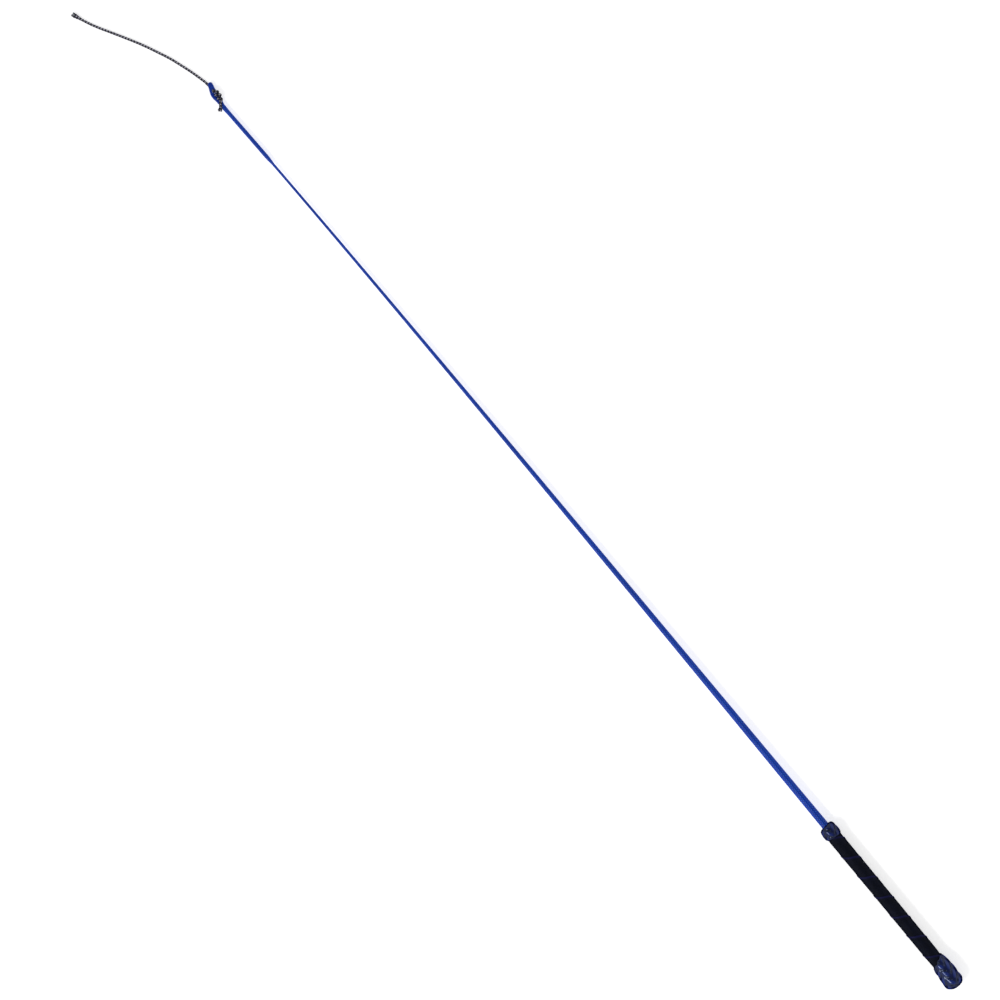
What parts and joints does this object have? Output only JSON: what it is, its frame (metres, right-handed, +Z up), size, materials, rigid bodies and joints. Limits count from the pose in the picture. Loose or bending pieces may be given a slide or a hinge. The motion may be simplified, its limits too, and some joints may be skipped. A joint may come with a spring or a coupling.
{
  "type": "dressage whip",
  "caption": "Slim tapered riding whip: braided sleeve over a springy rod, spiral-wrapped grip between plaited cap and collar, limp lash knotted through a tip eye.",
  "frame": {"origin": "on the resting surface, midway between the butt face and the crest of the tip eye, in the middle of the width of everything but the lash", "axes": "+X along the whip towards the butt, tip and lash towards -X, +Z up from the surface it lies on"},
  "size_m": [1.229, 0.0705, 0.0197],
  "materials": {
    "core_fibreglass": "pultruded fibreglass rod, satin",
    "sleeve_braid": "tight royal-blue nylon braid, slight sheen",
    "tail_braid": "royal-blue nylon braid, buried end",
    "loop_braid": "royal-blue nylon braid folded into an eye",
    "tube_plastic": "black extruded tube",
    "grip_leather": "matte pebbled navy leather strip, spiral wrapped",
    "binding_thread": "waxed binding thread",
    "plug_wood": "turned beech plug",
    "cap_leather": "glossy plaited navy leather",
    "disc_leather": "glossy navy leather button",
    "collar_leather": "glossy plaited navy leather",
    "knot_braid": "black round braid with white tracer picks, pulled tight",
    "lash_braid": "black round braid with white tracer picks"
  },
  "bodies": {
    "whip": {"core_rod": "core_fibreglass", "braided_sleeve": "sleeve_braid", "spliced_tail": "tail_braid", "tip_loop": "loop_braid", "handle_tube": "tube_plastic", "grip_wrap": "grip_leather", "front_binding": "binding_thread", "rear_binding": "binding_thread", "cap_plug": "plug_wood", "cap_cover": "cap_leather", "cap_end_disc": "disc_leather", "collar_knot": "collar_leather", "lash_knot": "knot_braid"},
    "lash_root": {"lash_root": "lash_braid"},
    "lash": {"lash": "lash_braid"}
  },
  "joints": [
    {"name": "lash_swing", "type": "hinge", "parent": "whip", "child": "lash_root", "pos_m": [-0.55196, -0.00307, 0.00113], "axis": [0, 0, 1], "range_deg": [-75, 75]},
    {"name": "lash_lift", "type": "hinge", "parent": "lash_root", "child": "lash", "pos_m": [-0.56649, -0.00681, 0.00113], "axis": [-0.2812, 0.9596, 0], "range_deg": [0, 75]}
  ]
}
